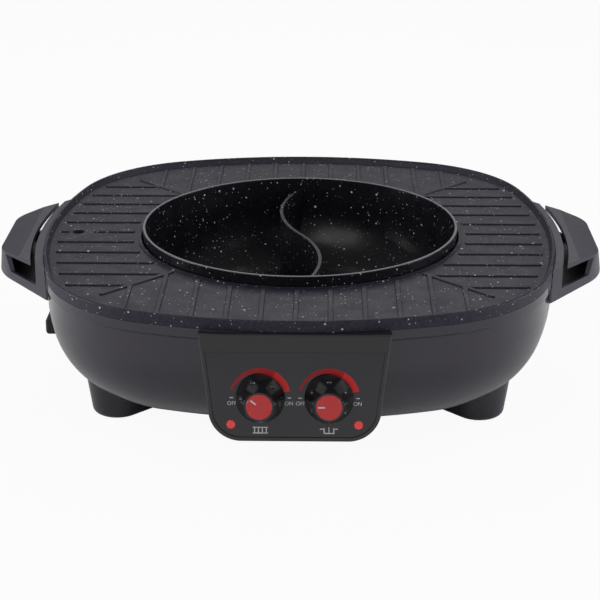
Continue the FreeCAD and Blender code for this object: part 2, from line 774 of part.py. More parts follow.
def inlet_pad():
    """The flat-faced pad on the housing's back that the inlet is screwed to."""
    return inlet_face(INLET_PAD_MARGIN, INLET_FACE_REACH - INLET_PAD_DEPTH, INLET_FACE_REACH)


def inlet_recess():
    """The clear space in front of the pad, and the hole through it."""
    front = inlet_face(INLET_PAD_MARGIN, INLET_FACE_REACH, HALF_DEPTH + 1)
    half = INLET_WIDTH / 2 + FIXED_CLEARANCE
    tall = INLET_HEIGHT / 2 + FIXED_CLEARANCE
    low = (-half, INLET_FACE_REACH - INLET_DEPTH - INLET_PAD_DEPTH, INLET_Z - tall)
    return front.fuse(box(low, (half, HALF_DEPTH, INLET_Z + tall)))


def power_inlet():
    """The socket for a removable lead: a flanged shell with a solid back."""
    face = INLET_FACE_REACH + INLET_FLANGE_THICKNESS
    half = INLET_WIDTH / 2
    tall = INLET_HEIGHT / 2
    back = INLET_FACE_REACH - INLET_DEPTH
    body = box((-half, back, INLET_Z - tall), (half, INLET_FACE_REACH + 1, INLET_Z + tall))
    body = body.fuse(inlet_face(0, INLET_FACE_REACH, face))
    wide = half - INLET_WALL
    high = tall - INLET_WALL
    floor_y = back + INLET_WALL
    body = body.cut(box((-wide, floor_y, INLET_Z - high), (wide, face + 1, INLET_Z + high)))
    for x in (-PIN_SPACING, 0, PIN_SPACING):
        hole = Part.makeCylinder(PIN_RADIUS, INLET_DEPTH, Vector(x, back - 1, INLET_Z), Vector(0, 1, 0))
        body = body.cut(hole)
    for place in inlet_screws_at():
        body = body.cut(pointed(screw_hole(INLET_FLANGE_THICKNESS), (0, 1, 0), place))
    return body.removeSplitter()


def inlet_pins():
    """The three contact pins, pressed through the inlet's back."""
    back = INLET_FACE_REACH - INLET_DEPTH
    pins = []
    for x in (-PIN_SPACING, 0, PIN_SPACING):
        start = Vector(x, back - PIN_TAIL, INLET_Z)
        length = PIN_TAIL + INLET_WALL + PIN_LENGTH
        pin = Part.makeCylinder(PIN_RADIUS, length, start, Vector(0, 1, 0))
        tip = [e for e in pin.Edges if e.CenterOfMass.y > start.y + length - 0.01]
        pins.append(pin.makeFillet(PIN_RADIUS * 0.6, tip))
    return Part.makeCompound(pins)


def inlet_screws():
    """The two screws that hold the inlet."""
    return Part.makeCompound([pointed(screw(INLET_SCREW_LENGTH), (0, 1, 0), p) for p in inlet_screws_at()])


def bottom_cover():
    """The flat plate that closes the housing from below, with cooling slots."""
    low = HOUSING_FLOOR_Z
    high = low + COVER_THICKNESS
    plate = outline_slab(FLOOR_RIM_INSET + COVER_GAP, low, high)
    for row in (-1, 1):
        for index in range(VENT_COUNT):
            x = (index - (VENT_COUNT - 1) / 2) * VENT_PITCH
            y = row * VENT_LENGTH
            slot = box(
                (x - VENT_WIDTH / 2, y - VENT_LENGTH / 2, low - 1),
                (x + VENT_WIDTH / 2, y + VENT_LENGTH / 2, high + 1),
            )
            plate = plate.cut(slot)
    for x, y in cover_screw_places():
        plate = plate.cut(pointed(screw_hole(COVER_THICKNESS), (0, 0, -1), (x, y, low)))
    return plate


def bottom_screws():
    """The screws that hold the bottom cover."""
    turned = [
        pointed(screw(COVER_SCREW_LENGTH), (0, 0, -1), (x, y, HOUSING_FLOOR_Z))
        for x, y in cover_screw_places()
    ]
    return Part.makeCompound(turned)


def foot_outline(outer, inner, radius, level):
    """A capsule outline round a foot's two end centres."""
    start = Vector(outer[0], outer[1], level)
    end = Vector(inner[0], inner[1], level)
    along = (end - start).normalize()
    across = Vector(-along.y, along.x, 0)
    edges = [
        Part.LineSegment(start + across * radius, end + across * radius).toShape(),
        Part.Arc(end + across * radius, end + along * radius, end - across * radius).toShape(),
        Part.LineSegment(end - across * radius, start - across * radius).toShape(),
        Part.Arc(start - across * radius, start - along * radius, start + across * radius).toShape(),
    ]
    return Part.Wire(edges)


def foot(outer, inner, screw_place):
    """One moulded foot, trimmed to the bowl above it, with a socket for its pad."""
    low = foot_outline(outer, inner, FOOT_RADIUS, FOOT_BOTTOM_Z)
    high = foot_outline(outer, inner, FOOT_RADIUS + FOOT_DRAFT, FOOT_TOP_Z)
    solid = Part.makeLoft([low, high], True, True)
    sole = [e for e in solid.Edges if abs(e.CenterOfMass.z - FOOT_BOTTOM_Z) < 0.01]
    solid = solid.makeFillet(FOOT_EDGE_ROUND, sole)
    solid = solid.cut(housing_blank(SEAT_GAP))
    solid = solid.cut(outline_slab(-1, HOUSING_TOP_Z, FOOT_TOP_Z + HOUSING_TOP_Z))
    solid = solid.cut(cylinder(PAD_RADIUS, 0, FOOT_BOTTOM_Z + PAD_SOCKET, *outer))
    screw_top = HOUSING_FLOOR_Z + HOUSING_WALL
    return solid.cut(pointed(screw_hole(FOOT_SCREW_LENGTH + 1), (0, 0, 1), (*screw_place, screw_top)))


def foot_pad(outer):
    """The rubber pad pressed into a foot."""
    pad = cylinder(PAD_RADIUS, 0, FOOT_BOTTOM_Z + PAD_SOCKET, *outer)
    sole = [e for e in pad.Edges if e.CenterOfMass.z < 0.01]
    return pad.makeFillet(FOOT_BOTTOM_Z / 3, sole)


def foot_screws():
    """The screws that hold the feet, driven from inside the housing."""
    level = HOUSING_FLOOR_Z + HOUSING_WALL
    return Part.makeCompound(
        [pointed(screw(FOOT_SCREW_LENGTH), (0, 0, 1), (x, y, level)) for _, _, (x, y) in foot_places()]
    )


def control_box():
    """The hooded box on the housing's front that carries the controls."""
    block = panel_block(0, 0, -PANEL_DEPTH, 0)
    tilt = math.radians(PANEL_TILT)
    outward = Vector(0, -math.cos(tilt), math.sin(tilt))
    face = [f for f in block.Faces if (f.normalAt(0, 0) - outward).Length < 0.01]
    block = block.makeFillet(PANEL_EDGE_ROUND, face[0].Edges)
    fascia_back = FASCIA_RECESS + FASCIA_THICKNESS
    pocket = panel_block(PANEL_WALL, HOOD_HEIGHT, -fascia_back, 1)
    well = panel_block(PANEL_WALL + FASCIA_LEDGE, HOOD_HEIGHT + FASCIA_LEDGE, -PANEL_DEPTH - 1, 0)
    return block.cut(housing_blank(SEAT_GAP)).cut(pocket).cut(well)


def control_fascia():
    """The inset plate that carries the knobs and lamps."""
    back = FASCIA_RECESS + FASCIA_THICKNESS
    plate = panel_block(PANEL_WALL + FIXED_CLEARANCE, HOOD_HEIGHT + FIXED_CLEARANCE, -back, -FASCIA_RECESS)
    for side in (-1, 1):
        spindle = cylinder(BUSH_RADIUS + FIXED_CLEARANCE, -back - 1, 0)
        plate = plate.cut(on_panel(spindle, side * KNOB_SPACING / 2, KNOB_HEIGHT_ON_PANEL, 0))
        lamp = cylinder(LENS_RADIUS + CAP_GAP, -back - 1, 0)
        plate = plate.cut(on_panel(lamp, side * LAMP_SPACING / 2, LAMP_HEIGHT_ON_PANEL, 0))
    return plate


def at_knob(shape, side):
    """Places a control part, modelled along its axis from the panel's face, at the left or right knob."""
    return on_panel(shape, side * KNOB_SPACING / 2, KNOB_HEIGHT_ON_PANEL, 0)


def knob(side, pointer):
    """A dimpled, waisted knob, hollow below, with a seat for its cap."""
    low = KNOB_GAP - FASCIA_RECESS
    high = low + KNOB_LENGTH
    shoulder = low + KNOB_SKIRT
    middle = ((KNOB_RADIUS + KNOB_TOP_RADIUS) / 2 - KNOB_WAIST, (shoulder + high) / 2)
    body = revolved(
        [(0, low), (KNOB_RADIUS, low), (KNOB_RADIUS, shoulder), ("arc", middle, (KNOB_TOP_RADIUS, high)), (0, high)]
    )
    reach = KNOB_RADIUS - (KNOB_RADIUS - KNOB_TOP_RADIUS) * DIMPLE_RISE / (high - shoulder)
    for index in range(DIMPLE_COUNT):
        turn = (index + 0.5) * 360 / DIMPLE_COUNT
        place = at_angle(0, 0, reach, turn, shoulder + DIMPLE_RISE)
        body = body.cut(Part.makeSphere(DIMPLE_RADIUS, place))
    body = body.cut(cylinder(KNOB_RECESS_RADIUS, low - 1, low + KNOB_RECESS_DEPTH))
    body = body.cut(cylinder(SPINDLE_RADIUS + CAP_GAP, low, low + KNOB_RECESS_DEPTH + SPINDLE_IN_KNOB))
    body = body.cut(cylinder(CAP_RADIUS + CAP_GAP, high - CAP_THICKNESS + CAP_PROUD, high + 1))
    body.rotate(ORIGIN, UP, pointer)
    return at_knob(body, side)


def knob_cap(side, pointer):
    """The coloured disc on a knob, with a sunk pointer mark."""
    high = KNOB_GAP - FASCIA_RECESS + KNOB_LENGTH + CAP_PROUD
    disc = cylinder(CAP_RADIUS, high - CAP_THICKNESS, high)
    rim = [e for e in disc.Edges if e.CenterOfMass.z > high - 0.01]
    disc = disc.makeFillet(CAP_PROUD * 0.7, rim)
    half = POINTER_WIDTH / 2
    mark_end = CAP_RADIUS - CAP_PROUD * 2
    mark = box((mark_end - POINTER_LENGTH, -half, high - POINTER_DEPTH), (mark_end, half, high + 1))
    disc = disc.cut(mark)
    disc.rotate(ORIGIN, UP, pointer)
    return at_knob(disc, side)


def spindle(side):
    """The thermostat's shaft, which carries the knob."""
    top = KNOB_GAP - FASCIA_RECESS + KNOB_RECESS_DEPTH + SPINDLE_IN_KNOB
    foot_z = -FASCIA_RECESS - FASCIA_THICKNESS - SPINDLE_IN_BODY
    return at_knob(cylinder(SPINDLE_RADIUS, foot_z, top - CAP_GAP), side)


def thermostat(side):
    """The adjustable thermostat behind the fascia, with its bush and two blades."""
    face = -FASCIA_RECESS - FASCIA_THICKNESS
    back = face - THERMOSTAT_DEPTH
    body = cylinder(THERMOSTAT_RADIUS, back, face)
    body = body.fuse(cylinder(BUSH_RADIUS, face - 1, BUSH_PROUD - FASCIA_RECESS))
    body = body.cut(cylinder(SPINDLE_RADIUS + RUNNING_CLEARANCE, face - SPINDLE_IN_BODY - CAP_GAP, KNOB_LENGTH))
    for place in (-1, 1):
        x = place * BLADE_SPREAD / 2
        low = (x - BLADE_WIDTH / 2, -BLADE_THICKNESS / 2, back - BLADE_LENGTH)
        body = body.fuse(box(low, (x + BLADE_WIDTH / 2, BLADE_THICKNESS / 2, back + 1)))
    return at_knob(body.removeSplitter(), side)


def spindle_nuts():
    """The thin nuts that clamp the thermostats to the fascia."""
    nuts = []
    low = -FASCIA_RECESS
    corners = [at_angle(0, 0, NUT_ACROSS_CORNERS / 2, 60 * k, low) for k in range(7)]
    for side in (-1, 1):
        nut = Part.Face(Part.makePolygon(corners)).extrude(Vector(0, 0, NUT_THICKNESS))
        nut = nut.cut(cylinder(BUSH_RADIUS + CAP_GAP, low - 1, low + NUT_THICKNESS + 1))
        nuts.append(at_knob(nut, side))
    return Part.makeCompound(nuts)


def indicator_lens(side):
    """A small lamp lens, pushed through the fascia from behind."""
    back = -FASCIA_RECESS - FASCIA_THICKNESS
    stem = cylinder(LENS_RADIUS, back - LENS_FLANGE_THICKNESS, LENS_PROUD - FASCIA_RECESS)
    top = [e for e in stem.Edges if e.CenterOfMass.z > LENS_PROUD - FASCIA_RECESS - 0.01]
    stem = stem.makeFillet(LENS_PROUD * 0.8, top)
    flange = cylinder(LENS_FLANGE_RADIUS, back - LENS_FLANGE_THICKNESS, back)
    return on_panel(stem.fuse(flange), side * LAMP_SPACING / 2, LAMP_HEIGHT_ON_PANEL, 0)


def neon_lamps():
    """The two glow lamps behind the lenses."""
    top = -FASCIA_RECESS - FASCIA_THICKNESS - LENS_FLANGE_THICKNESS
    lamps = []
    for side in (-1, 1):
        lamp = cylinder(NEON_RADIUS, top - NEON_LENGTH, top)
        lamps.append(on_panel(lamp, side * LAMP_SPACING / 2, LAMP_HEIGHT_ON_PANEL, 0))
    return Part.makeCompound(lamps)


def handle_wire(reach, end_half, root_half, corner, level):
    """The plan outline of a handle at a level."""
    root = HALF_WIDTH / 2
    return rounded_wire(
        [
            (root, -root_half, HANDLE_ROOT_CORNER),
            (outline_reach(root_half, 0), -root_half, HANDLE_ROOT_CORNER),
            (reach, -end_half, corner),
            (reach, end_half, corner),
            (outline_reach(root_half, 0), root_half, HANDLE_ROOT_CORNER),
            (root, root_half, HANDLE_ROOT_CORNER),
        ],
        level,
    )


def handle_form(inset, low, high):
    """The tapering outer form of a handle, drawn in by an inset, between two levels."""
    rise = HANDLE_TOP_Z - HANDLE_BOTTOM_Z
    wires = []
    for level in (low, high):
        share = (level - HANDLE_BOTTOM_Z) / rise
        reach = HANDLE_BOTTOM_REACH + share * (HANDLE_TOP_REACH - HANDLE_BOTTOM_REACH)
        end_half = HANDLE_BOTTOM_END_HALF + share * (HANDLE_TOP_END_HALF - HANDLE_BOTTOM_END_HALF)
        root_half = HANDLE_BOTTOM_ROOT_HALF + share * (HANDLE_TOP_ROOT_HALF - HANDLE_BOTTOM_ROOT_HALF)
        corner = HANDLE_BOTTOM_CORNER + share * (HANDLE_TOP_CORNER - HANDLE_BOTTOM_CORNER)
        wires.append(handle_wire(reach - inset, end_half, root_half - inset, corner, level))
    return Part.makeLoft(wires, True, True)


def handle_band(margin):
    """The curved band of a handle that hugs the housing, as a filled block grown by a margin."""
    reach = HANDLE_GAP + HANDLE_BAND + margin
    return outline_slab(-reach, HANDLE_BOTTOM_Z - 2, HANDLE_TOP_Z + 2)


def handle_hollow():
    """The hollow inside a handle, open below."""
    ceiling = HANDLE_TOP_Z - HANDLE_WALL
    return handle_form(HANDLE_WALL, HANDLE_BOTTOM_Z - 1, ceiling).cut(handle_band(0))


def handled(shape, side):
    """A handle part on the side asked for, from the right-hand one."""
    return shape.mirror(ORIGIN, Vector(1, 0, 0)) if side < 0 else shape


def handle_slope():
    """The wedge above a handle's sloping outer top face."""
    length = HANDLE_BOTTOM_ROOT_HALF * 2
    wedge = box((0, -length / 2, 0), (HANDLE_BOTTOM_REACH, length / 2, HANDLE_WALL * 3))
    wedge.rotate(ORIGIN, Vector(0, 1, 0), HANDLE_SLOPE)
    wedge.translate(Vector(HANDLE_RIDGE_X, 0, HANDLE_TOP_Z))
    return wedge


def side_handle(side):
    """The upper shell of a carrying handle, with a long slot and open corners."""
    outer = handle_form(0, HANDLE_BOTTOM_Z, HANDLE_TOP_Z).cut(handle_slope())
    plate_fit = outline_slab(-HANDLE_GAP, HOUSING_TOP_Z - 1, HANDLE_TOP_Z + 1)
    ceiling = HANDLE_TOP_Z - HANDLE_WALL
    half = HANDLE_SLOT_HALF_LENGTH
    slot_block = box((HALF_WIDTH / 2, -half, ceiling - 1), (HANDLE_BOTTOM_REACH, half, HANDLE_TOP_Z + 1))
    slot = handle_band(HANDLE_SLOT).cut(handle_band(0)).common(slot_block)
    whole = outer.cut(housing_blank(SEAT_GAP)).cut(plate_fit).cut(handle_hollow()).cut(slot)
    window_low = HANDLE_BOTTOM_Z + HANDLE_LIP_HEIGHT
    for end in (-1, 1):
        near, far = sorted((end * HANDLE_WINDOW_START, end * HANDLE_BOTTOM_ROOT_HALF))
        window = box((HALF_WIDTH / 2, near, window_low), (HANDLE_BOTTOM_REACH, far, ceiling))
        whole = whole.cut(window.cut(handle_band(0)))
    for screw_side, x, y in handle_screws_at():
        if screw_side > 0:
            hole = screw_hole(HANDLE_SCREW_LENGTH + 1)
            whole = whole.cut(pointed(hole, (-1, 0, 0), (x, y, HANDLE_SCREW_Z)))
    return handled(whole, side)


def handle_base(side):
    """The black plate that closes a handle from below."""
    slab = outline_slab(-HALF_WIDTH / 2, HANDLE_BOTTOM_Z, HANDLE_BOTTOM_Z + HANDLE_BASE_THICKNESS)
    return handled(handle_hollow().common(slab), side)


def handle_screws():
    """The screws that hold both handles, driven from inside the housing."""
    return Part.makeCompound(
        [
            pointed(screw(HANDLE_SCREW_LENGTH), (-side, 0, 0), (x, y, HANDLE_SCREW_Z))
            for side, x, y in handle_screws_at()
        ]
    )


def drip_tray():
    """The sliding grease tray, an open box with a thicker front."""
    half = TRAY_WIDTH / 2
    low = TRAY_TOP_Z - TRAY_HEIGHT
    block = box((-TRAY_OUTER_X, -half, low), (-TRAY_INNER_X, half, TRAY_TOP_Z))
    front = [e for e in block.Edges if e.CenterOfMass.x < 0.01 - TRAY_OUTER_X]
    block = block.makeFillet(TRAY_EDGE_ROUND, front)
    inside = box(
        (TRAY_FRONT_THICKNESS - TRAY_OUTER_X, TRAY_WALL - half, low + TRAY_WALL),
        (-TRAY_INNER_X - TRAY_WALL, half - TRAY_WALL, TRAY_TOP_Z + 1),
    )
    return block.cut(inside)


def tray_sleeve():
    """The channel that the tray slides in, flush with the housing's outside and open above the tray."""
    outer = tray_space(TRAY_CLEARANCE + SLEEVE_WALL)
    inner = tray_space(TRAY_CLEARANCE)
    half = TRAY_WIDTH / 2 - SLEEVE_TOP_LIP
    mouth = box((-HALF_WIDTH, -half, TRAY_TOP_Z), (-TRAY_INNER_X, half, TRAY_TOP_Z + HOUSING_TOP_Z))
    return outer.cut(inner).cut(mouth).common(housing_blank(0))


def drain_tube():
    """The bent tube that leads from under the spout down to the tray."""
    inner = DRAIN_RADIUS + DRAIN_WALL + TUBE_CLEARANCE
    outer = inner + TUBE_WALL
    top = PAN_TROUGH_Z + PAN_SHEET
    start = (-DRAIN_REACH, 0, top)
    elbow = (-DRAIN_REACH, 0, TUBE_ELBOW_Z)
    end = (-TUBE_END_X, 0, TUBE_END_Z)
    tube = rod(outer, [start, elbow, end])
    flange = cylinder(outer + TUBE_FLANGE, top, top + TUBE_FLANGE_THICKNESS, -DRAIN_REACH)
    above = (-DRAIN_REACH, 0, top + TUBE_FLANGE_THICKNESS + 1)
    beyond = Vector(*end) + (Vector(*end) - Vector(*elbow)) * 0.2
    bore = rod(inner, [above, elbow, tuple(beyond)])
    return tube.fuse(flange).cut(bore).removeSplitter()


def heater_ends(x, y, level, drop):
    """The two straight cold ends of a heater, at plus and minus x."""
    ends = []
    for side in (-1, 1):
        ends.append(cylinder(HEATER_TUBE_RADIUS, level - drop, level, side * x, y))
        ends.append(Part.makeSphere(HEATER_TUBE_RADIUS + ELBOW_SWELL, Vector(side * x, y, level)))
    return ends


def pot_heater_level():
    """The height of the pot heater's centre line."""
    return POT_BOTTOM_Z - POT_HEATER_GAP - HEATER_TUBE_RADIUS


def grill_heater_level():
    """The height of the grill heater's centre line."""
    return PLATE_UNDER_Z - GRILL_HEATER_DROP - HEATER_TUBE_RADIUS


def pot_heater():
    """The ring heater under the pot, open at the front, with its ends turned down."""
    level = pot_heater_level()
    loop = Part.makeTorus(POT_HEATER_RADIUS, HEATER_TUBE_RADIUS, Vector(0, 0, level), UP)
    gap = HEATER_END_HALF_GAP
    reach = POT_HEATER_RADIUS + HEATER_TUBE_RADIUS + 1
    loop = loop.cut(box((-gap, -reach, level - gap), (gap, 0, level + gap)))
    y = -math.sqrt(POT_HEATER_RADIUS**2 - gap**2)
    return fuse_all([loop, *heater_ends(gap, y, level, POT_HEATER_END_DROP)])


def grill_heater():
    """The heater loop under the grill plate, open at the front, with its ends turned down."""
    level = grill_heater_level()
    inset = GRILL_HEATER_INSET
    radius = HEATER_TUBE_RADIUS
    loop = outline_ring(
        [
            (inset - radius, level),
            ("arc", (inset, level - radius), (inset + radius, level)),
            ("arc", (inset, level + radius), (inset - radius, level)),
        ]
    )
    gap = HEATER_END_HALF_GAP
    loop = loop.cut(box((-gap, -HALF_DEPTH, level - gap), (gap, 0, level + gap)))
    y = -outline_depth(gap, inset)
    return fuse_all([loop, *heater_ends(gap, y, level, GRILL_HEATER_END_DROP)])


def heater_clips():
    """The saddles that carry the grill heater on the pan's trough."""
    level = grill_heater_level()
    floor_z = PAN_TROUGH_Z + PAN_SHEET
    clips = []
    turns = [360 / CLIP_COUNT * (k + 0.5) for k in range(CLIP_COUNT)]
    x, y = outline_arcs()[1][:2]
    run = CORNER_RADIUS - GRILL_HEATER_INSET
    for turn in turns:
        side = math.copysign(1, math.cos(math.radians(turn)))
        end = math.copysign(1, math.sin(math.radians(turn)))
        clip = box((-CLIP_WIDTH / 2, -CLIP_THICKNESS / 2, floor_z), (CLIP_WIDTH / 2, CLIP_THICKNESS / 2, level))
        tube = Part.makeCylinder(
            HEATER_TUBE_RADIUS + SEAT_GAP, CLIP_WIDTH, Vector(0, -CLIP_WIDTH / 2, level), Vector(0, 1, 0)
        )
        clip = clip.cut(tube)
        clip.rotate(ORIGIN, UP, turn)
        place = Vector(side * (x + run * DIAGONAL), end * (y + run * DIAGONAL), 0)
        clip.translate(place)
        clips.append(clip)
    return Part.makeCompound(clips)


def pan_well(grow, low):
    """The round well of the reflector pan, grown outward, from a level up to the trough."""
    high = PAN_TROUGH_Z + PAN_SHEET
    slope = (PAN_WELL_TOP_RADIUS - PAN_WELL_FLOOR_RADIUS) / (PAN_TROUGH_Z - PAN_FLOOR_Z)
    low_radius = PAN_WELL_FLOOR_RADIUS + grow + slope * (low - PAN_FLOOR_Z)
    high_radius = PAN_WELL_FLOOR_RADIUS + grow + slope * (high - PAN_FLOOR_Z)
    return Part.makeCone(low_radius, high_radius, high - low, Vector(0, 0, low), UP)


def reflector_pan():
    """The pressed pan that throws heat up: a rim on the housing's ledge, a trough and a round well."""
    rim_z = HOUSING_TOP_Z - LEDGE_DROP
    rim_inset = FLANGE_STEP + HOUSING_WALL + PLATE_SKIRT_GAP
    inset = PAN_INSET
    edge = outline_ring(
        [
            (rim_inset, rim_z),
            (rim_inset, rim_z + PAN_SHEET),
            (inset + PAN_SHEET, rim_z + PAN_SHEET),
            (inset + PAN_SHEET, PAN_TROUGH_Z),
            (inset, PAN_TROUGH_Z),
            (inset, rim_z),
        ]
    )
    trough = outline_slab(inset, PAN_TROUGH_Z, PAN_TROUGH_Z + PAN_SHEET)
    well = pan_well(0, PAN_FLOOR_Z)
    whole = fuse_all([edge, trough, well]).cut(pan_well(-PAN_SHEET, PAN_FLOOR_Z + PAN_SHEET))
    tube_outer = DRAIN_RADIUS + DRAIN_WALL + TUBE_CLEARANCE + TUBE_WALL
    whole = whole.cut(cylinder(tube_outer, PAN_TROUGH_Z - 1, rim_z, -DRAIN_REACH))
    gap = HEATER_END_HALF_GAP
    hole = HEATER_TUBE_RADIUS + FIXED_CLEARANCE
    grill_y = -outline_depth(gap, GRILL_HEATER_INSET)
    pot_y = -math.sqrt(POT_HEATER_RADIUS**2 - gap**2)
    for x in (-gap, gap):
        whole = whole.cut(cylinder(hole, PAN_TROUGH_Z - 1, rim_z, x, grill_y))
        whole = whole.cut(cylinder(hole, PAN_FLOOR_Z - 1, PAN_FLOOR_Z + PAN_SHEET + 1, x, pot_y))
    return whole


def pot_trivet():
    """The windowed ring on the pan's floor that the pot stands on."""
    low = PAN_FLOOR_Z + PAN_SHEET
    high = POT_BOTTOM_Z - SEAT_GAP
    stand = ring(TRIVET_OUTER, TRIVET_INNER, low, high)
    for turn in (0, 60, 120):
        half = TRIVET_WINDOW / 2
        window = box((-TRIVET_OUTER, -half, low + TRIVET_RAIL), (TRIVET_OUTER, half, high - TRIVET_RAIL))
        window.rotate(ORIGIN, UP, turn)
        stand = stand.cut(window)
    return stand


def thermal_cutout():
    """The safety cut-out held against the underside of the pan."""
    return cylinder(CUTOUT_RADIUS, PAN_FLOOR_Z - CUTOUT_HEIGHT, PAN_FLOOR_Z)


def terminal_block():
    """The block on the bottom cover where the wires meet."""
    low = HOUSING_FLOOR_Z + COVER_THICKNESS
    return box(
        (-TERMINAL_X, TERMINAL_Y + VENT_LENGTH / 2, low),
        (TERMINAL_X, TERMINAL_Y + VENT_LENGTH / 2 + TERMINAL_HALF_WIDTH * 2, low + TERMINAL_HEIGHT),
    )


def terminal_face(end):
    """The y of the terminal block's front (-1) or back (+1) face."""
    return TERMINAL_Y + VENT_LENGTH / 2 + TERMINAL_HALF_WIDTH * (1 + end)


def mains_wires():
    """Three wires from the inlet's pins down to the terminal block."""
    start_y = INLET_FACE_REACH - INLET_DEPTH - PIN_TAIL
    drop_y = (start_y + PAN_WELL_TOP_RADIUS) / 2
    wires = []
    for x in (-PIN_SPACING, 0, PIN_SPACING):
        wires.append(
            rod(
                WIRE_RADIUS,
                [
                    (x, start_y, INLET_Z),
                    (x, drop_y, INLET_Z),
                    (x, terminal_face(1) + PIN_TAIL * 2, WIRE_LEVEL),
                    (x, terminal_face(1), WIRE_LEVEL),
                ],
            )
        )
    return Part.makeCompound(wires)


def heater_wires():
    """Two wires from the terminal block to the ends of the pot heater."""
    pot_y = -math.sqrt(POT_HEATER_RADIUS**2 - HEATER_END_HALF_GAP**2)
    end_z = pot_heater_level() - POT_HEATER_END_DROP
    wires = []
    for side in (-1, 1):
        x = side * HEATER_END_HALF_GAP
        wires.append(
            rod(
                WIRE_RADIUS,
                [
                    (x, terminal_face(-1), WIRE_LEVEL),
                    (x, pot_y, WIRE_LEVEL),
                    (x, pot_y, end_z),
                ],
            )
        )
    return Part.makeCompound(wires)


def control_wires():
    """Two wires from the thermostats' blades to the ends of the grill heater."""
    back = -FASCIA_RECESS - FASCIA_THICKNESS - THERMOSTAT_DEPTH - BLADE_LENGTH
    end_z = grill_heater_level() - GRILL_HEATER_END_DROP
    grill_y = -outline_depth(HEATER_END_HALF_GAP, GRILL_HEATER_INSET)
    wires = []
    for side in (-1, 1):
        across = side * (KNOB_SPACING - BLADE_SPREAD) / 2
        tip = on_panel(Part.Vertex(0, 0, 0), across, KNOB_HEIGHT_ON_PANEL, back).Point
        x = side * HEATER_END_HALF_GAP
        wires.append(rod(WIRE_RADIUS, [tuple(tip), (x, grill_y, tip.z), (x, grill_y, end_z)]))
    return Part.makeCompound(wires)


def all_parts():
    """Every node of the assembly, by name, about the pot's axis."""
    parts = {
        "base_housing": base_housing(),
        "bottom_cover": bottom_cover(),
        "bottom_screws": bottom_screws(),
        "foot_screws": foot_screws(),
        "control_box": control_box(),
        "control_fascia": control_fascia(),
        "spindle_nuts": spindle_nuts(),
        "neon_lamps": neon_lamps(),
        "grill_plate": grill_plate(),
        "inner_pot": inner_pot(),
        "pot_divider": pot_divider(),
        "pot_heater": pot_heater(),
        "pot_trivet": pot_trivet(),
        "grill_heater": grill_heater(),
        "heater_clips": heater_clips(),
        "reflector_pan": reflector_pan(),
        "thermal_cutout": thermal_cutout(),
        "drain_tube": drain_tube(),
        "drip_tray": drip_tray(),
        "tray_sleeve": tray_sleeve(),
        "power_inlet": power_inlet(),
        "inlet_pins": inlet_pins(),
        "inlet_screws": inlet_screws(),
        "terminal_block": terminal_block(),
        "mains_wires": mains_wires(),
        "heater_wires": heater_wires(),
        "control_wires": control_wires(),
        "handle_screws": handle_screws(),
    }
    for name, side, pointer in (("left", -1, LEFT_POINTER), ("right", 1, RIGHT_POINTER)):
        parts["handle_" + name] = side_handle(side)
        parts["handle_base_" + name] = handle_base(side)
        parts["knob_" + name] = knob(side, pointer)
        parts["knob_cap_" + name] = knob_cap(side, pointer)
        parts["spindle_" + name] = spindle(side)
        parts["thermostat_" + name] = thermostat(side)
        parts["indicator_lens_" + name] = indicator_lens(side)
    corners = ("front_left", "rear_left", "front_right", "rear_right")
    for name, places in zip(corners, foot_places()):
        parts["foot_" + name] = foot(*places)
        parts["foot_pad_" + name] = foot_pad(places[0])
    return parts


def main():
    """Builds every node, centres the assembly from front to back and writes one file per node."""
    os.makedirs("parts", exist_ok=True)
    parts = all_parts()
    front = min(shape.optimalBoundingBox(False).YMin for shape in parts.values())
    back = max(shape.optimalBoundingBox(False).YMax for shape in parts.values())
    for name, shape in parts.items():
        shape.translate(Vector(0, -(front + back) / 2, 0))
        shape.exportStep(os.path.join("parts", name + ".step"))
        print(name, len(shape.Solids), round(shape.Volume), shape.isValid())
    print("pot axis at y =", round(-(front + back) / 2, 4))


main()
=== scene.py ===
"""The looks of a countertop grill with a divided soup pot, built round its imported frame. Metres."""

import json
import math

import bmesh
import bpy
from mathutils import Matrix, Vector


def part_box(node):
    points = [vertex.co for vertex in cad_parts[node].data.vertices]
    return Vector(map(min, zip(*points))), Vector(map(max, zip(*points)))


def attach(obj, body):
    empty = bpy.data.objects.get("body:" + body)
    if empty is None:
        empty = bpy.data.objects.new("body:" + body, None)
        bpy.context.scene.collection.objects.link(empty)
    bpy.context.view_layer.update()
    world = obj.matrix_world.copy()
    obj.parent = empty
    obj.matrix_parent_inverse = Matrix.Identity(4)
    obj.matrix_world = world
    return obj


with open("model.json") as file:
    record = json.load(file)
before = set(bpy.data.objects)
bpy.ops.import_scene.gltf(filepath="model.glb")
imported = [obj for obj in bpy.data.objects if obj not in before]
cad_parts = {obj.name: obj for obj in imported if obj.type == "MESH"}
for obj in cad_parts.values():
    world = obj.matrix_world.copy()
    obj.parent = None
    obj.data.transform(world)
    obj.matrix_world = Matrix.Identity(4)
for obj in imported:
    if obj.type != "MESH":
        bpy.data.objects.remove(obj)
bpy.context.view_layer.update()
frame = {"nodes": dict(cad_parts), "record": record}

# The camera, solved from the photograph, relative to the pot's axis at the grilling surface
CAMERA_OFFSET = Vector((0.02341, -1.36024, 0.45852))
CAMERA_BACK = Vector((0.016307, -0.947486, 0.319382))
CAMERA_LENS_MM = 103.84
CAMERA_SHIFT_Y = -0.1117

POT_LOW, POT_HIGH = (Vector(corner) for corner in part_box("inner_pot"))
POT_AXIS_Y = (POT_LOW.y + POT_HIGH.y) / 2
RIM_Z = POT_HIGH.z
RIM_ABOVE_GRILL = 0.009
GRILL_Z = RIM_Z - RIM_ABOVE_GRILL

